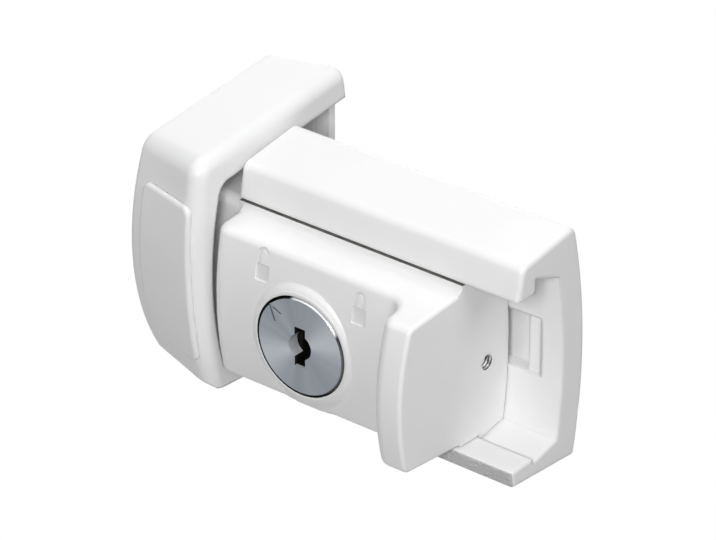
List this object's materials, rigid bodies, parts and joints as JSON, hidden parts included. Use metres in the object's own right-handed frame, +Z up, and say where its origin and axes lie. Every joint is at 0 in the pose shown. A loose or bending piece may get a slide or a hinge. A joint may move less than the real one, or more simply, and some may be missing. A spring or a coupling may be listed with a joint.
{
  "type": "sliding window lock",
  "caption": "Surface-mounted sliding window lock: a keyed slide in a C-shaped rail shoots its tongue behind a hooded keeper.",
  "frame": {"origin": "on the rail's flat back land, midway along the rail and level with the key's axis", "axes": "+Y into the window, -Y to the room, +Z up, +X the way the slide opens"},
  "size_m": [0.0921, 0.0566, 0.0616],
  "materials": {
    "white_paint": "satin",
    "zinc_steel": "zinc plated",
    "spring_steel": "bright",
    "brushed_face": "fine radial brush",
    "brass": "machined",
    "nylon": "natural nylon"
  },
  "bodies": {
    "root": {"rail": "white_paint", "hood": "white_paint", "hood_cap": "white_paint", "hood_base_plate": "white_paint", "hood_screws": "zinc_steel"},
    "slide": {"slide_body": "white_paint", "back_plate": "zinc_steel", "back_plate_screws": "zinc_steel", "glide_pads": "nylon", "stop_plunger": "zinc_steel", "plunger_spring": "spring_steel", "cylinder_set_screw": "zinc_steel", "cylinder_housing": "brass"},
    "key_plug": {"plug": "brass", "face_plate": "brushed_face", "crank_pin": "spring_steel", "plug_clip": "spring_steel", "wafers": "brass", "wafer_springs": "spring_steel"},
    "bolt": {"lock_bolt": "zinc_steel"}
  },
  "joints": [
    {"name": "slide_travel", "type": "slide", "parent": "root", "child": "slide", "axis": [1, 0, 0], "range_m": [0, 0.0139]},
    {"name": "plug_turn", "type": "hinge", "parent": "slide", "child": "key_plug", "pos_m": [-0.0113, -0.0218, 0], "axis": [0, 1, 0], "range_deg": [0, 90]},
    {"name": "bolt_lift", "type": "slide", "parent": "slide", "child": "bolt", "axis": [0, 0, 1], "range_m": [0, 0.0042]}
  ],
  "couplings": [
    {"joint": "bolt_lift", "follows": "plug_turn", "m_per_rad": 0.0026738}
  ]
}
